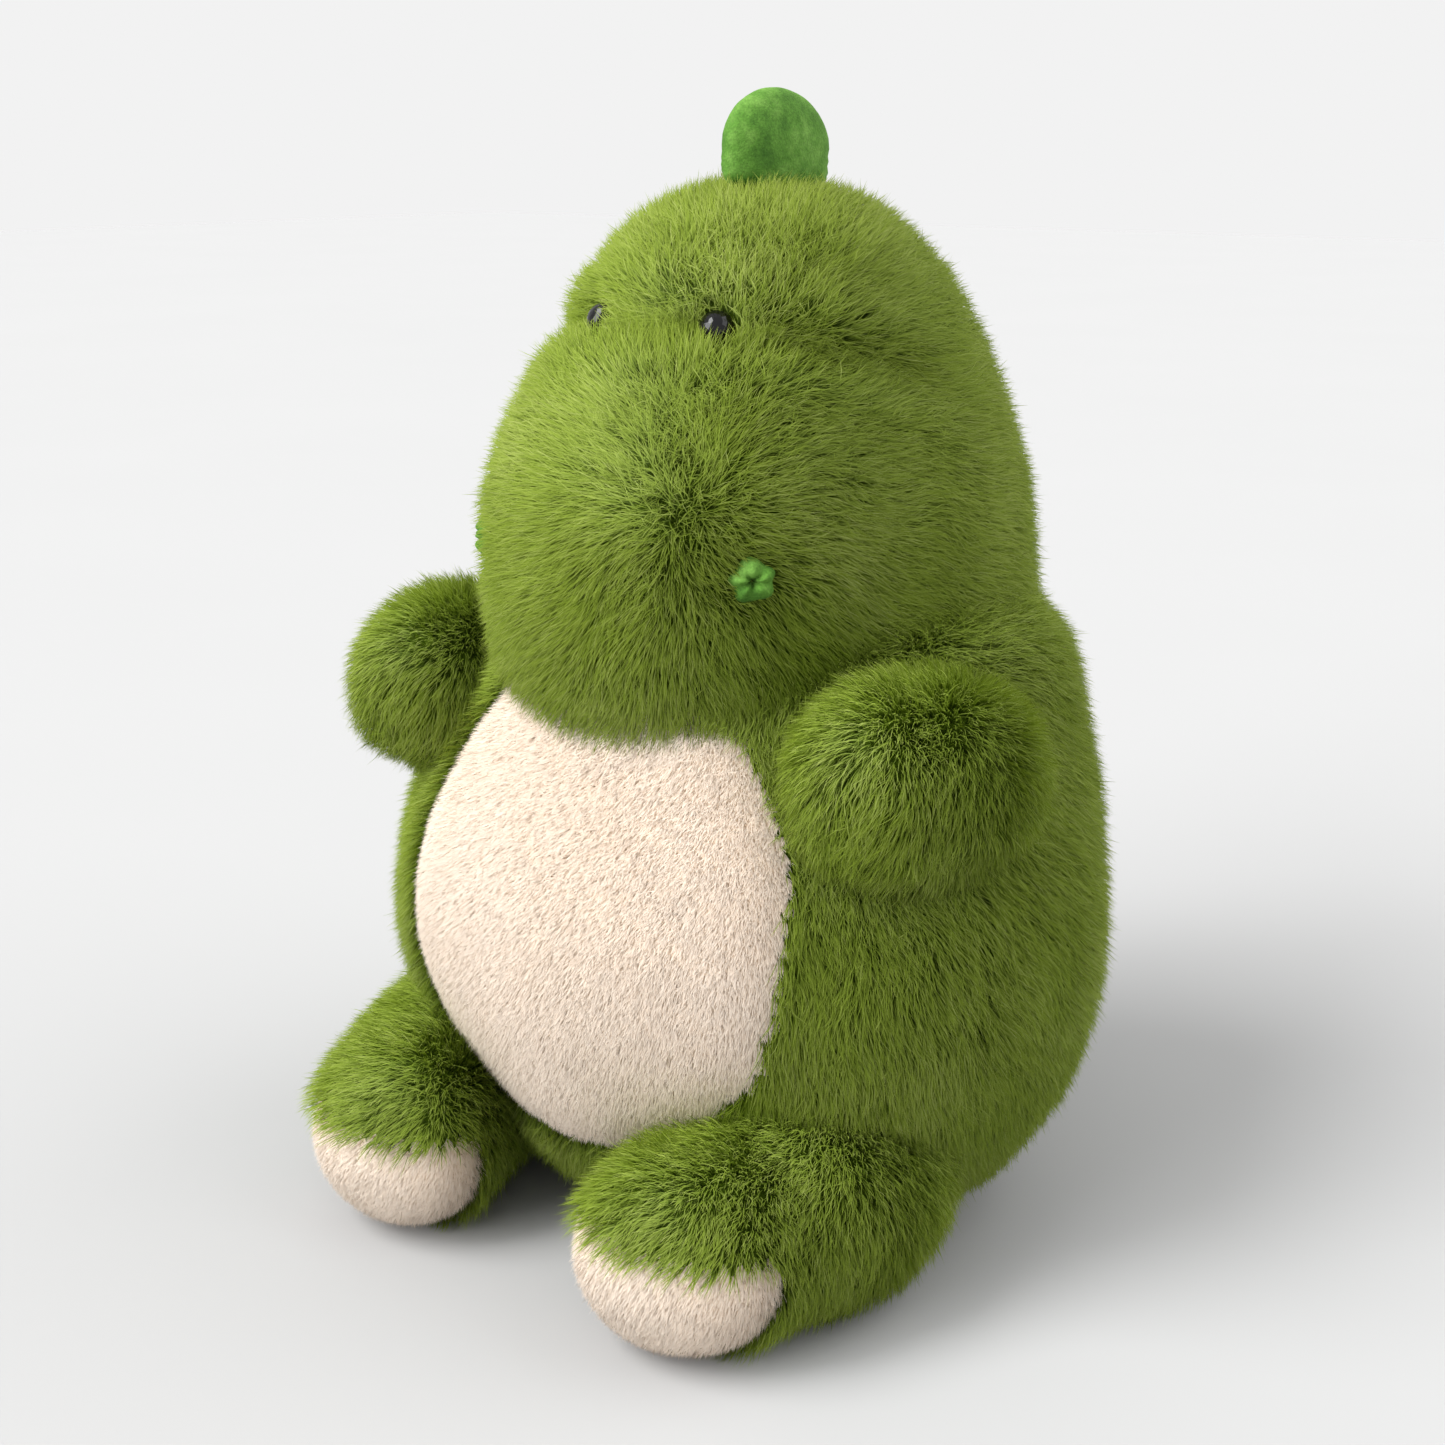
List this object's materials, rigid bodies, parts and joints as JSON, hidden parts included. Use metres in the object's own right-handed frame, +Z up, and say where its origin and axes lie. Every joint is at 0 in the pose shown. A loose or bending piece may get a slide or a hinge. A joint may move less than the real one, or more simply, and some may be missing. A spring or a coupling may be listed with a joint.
{
  "type": "stuffed dinosaur",
  "caption": "Sitting stuffed dinosaur of long-pile fabric with a domed snout, cream belly and soles, velvet spikes and sewn limbs that flex.",
  "frame": {"origin": "on the floor under the middle of the bounding box", "axes": "+Z up, the dinosaur faces -Y, its left side is +X"},
  "size_m": [0.2446, 0.2465, 0.3258],
  "materials": {
    "green_pile": "matte",
    "cream_pile": "matte",
    "green_velvet": "matte",
    "stuffing": "matte",
    "bag_cloth": "matte",
    "eye_plastic": "gloss",
    "washer_plastic": "satin"
  },
  "bodies": {
    "torso": {"base_panel": "green_pile", "belly_panel": "cream_pile", "body_left_panel": "green_pile", "body_right_panel": "green_pile", "pellet_bag": "bag_cloth", "torso_stuffing": "stuffing"},
    "head": {"left_eye": "eye_plastic", "left_eye_washer": "washer_plastic", "left_nostril": "green_velvet", "right_eye": "eye_plastic", "right_eye_washer": "washer_plastic", "right_nostril": "green_velvet", "head_stuffing": "stuffing", "head_left_panel": "green_pile", "head_right_panel": "green_pile", "jaw_panel": "green_pile"},
    "left_arm": {"left_arm_upper_panel": "green_pile", "left_arm_lower_panel": "green_pile", "left_arm_stuffing": "stuffing"},
    "right_arm": {"right_arm_upper_panel": "green_pile", "right_arm_lower_panel": "green_pile", "right_arm_stuffing": "stuffing"},
    "left_leg": {"left_leg_cover": "green_pile", "left_sole": "cream_pile", "left_leg_stuffing": "stuffing"},
    "right_leg": {"right_leg_cover": "green_pile", "right_sole": "cream_pile", "right_leg_stuffing": "stuffing"},
    "tail": {"tail_cover": "green_pile", "tail_stuffing": "stuffing"},
    "head_spike": {"head_spike": "green_velvet", "head_spike_stuffing": "stuffing"},
    "nape_spike": {"nape_spike": "green_velvet", "nape_spike_stuffing": "stuffing"},
    "upper_back_spike": {"upper_back_spike": "green_velvet", "upper_back_spike_stuffing": "stuffing"},
    "lower_back_spike": {"lower_back_spike": "green_velvet", "lower_back_spike_stuffing": "stuffing"}
  },
  "joints": [
    {"name": "head_nod", "type": "hinge", "parent": "torso", "child": "head", "pos_m": [0, 0.016, 0.194], "axis": [-1, 0, 0], "range_deg": [0, 16], "stiffness_Nm_per_rad": 0.6},
    {"name": "left_arm_swing", "type": "hinge", "parent": "torso", "child": "left_arm", "pos_m": [0.085, -0.014, 0.153], "axis": [-1, 0, 0], "range_deg": [-25, 10], "stiffness_Nm_per_rad": 0.08},
    {"name": "right_arm_swing", "type": "hinge", "parent": "torso", "child": "right_arm", "pos_m": [-0.085, -0.014, 0.153], "axis": [-1, 0, 0], "range_deg": [-25, 10], "stiffness_Nm_per_rad": 0.08},
    {"name": "left_leg_lift", "type": "hinge", "parent": "torso", "child": "left_leg", "pos_m": [0.066, -0.04, 0.031], "axis": [-1, 0, 0], "range_deg": [-10, 20], "stiffness_Nm_per_rad": 0.25},
    {"name": "right_leg_lift", "type": "hinge", "parent": "torso", "child": "right_leg", "pos_m": [-0.066, -0.04, 0.031], "axis": [-1, 0, 0], "range_deg": [-10, 20], "stiffness_Nm_per_rad": 0.25},
    {"name": "tail_wag", "type": "hinge", "parent": "torso", "child": "tail", "pos_m": [0, 0.066, 0.038], "axis": [0, 0, 1], "range_deg": [-15, 15], "stiffness_Nm_per_rad": 0.08},
    {"name": "head_spike_flop", "type": "hinge", "parent": "head", "child": "head_spike", "pos_m": [0, 0.01124, 0.30592], "axis": [0, 0.9903, -0.1392], "range_deg": [-15, 15], "stiffness_Nm_per_rad": 0.01},
    {"name": "nape_spike_flop", "type": "hinge", "parent": "head", "child": "nape_spike", "pos_m": [0, 0.07807, 0.23838], "axis": [0, 0.2588, -0.9659], "range_deg": [-15, 15], "stiffness_Nm_per_rad": 0.01},
    {"name": "upper_back_spike_flop", "type": "hinge", "parent": "torso", "child": "upper_back_spike", "pos_m": [0, 0.09004, 0.14848], "axis": [0, 0.5878, -0.809], "range_deg": [-15, 15], "stiffness_Nm_per_rad": 0.01},
    {"name": "lower_back_spike_flop", "type": "hinge", "parent": "torso", "child": "lower_back_spike", "pos_m": [0, 0.0859, 0.093], "axis": [0, 0.0349, -0.9994], "range_deg": [-15, 15], "stiffness_Nm_per_rad": 0.01}
  ]
}
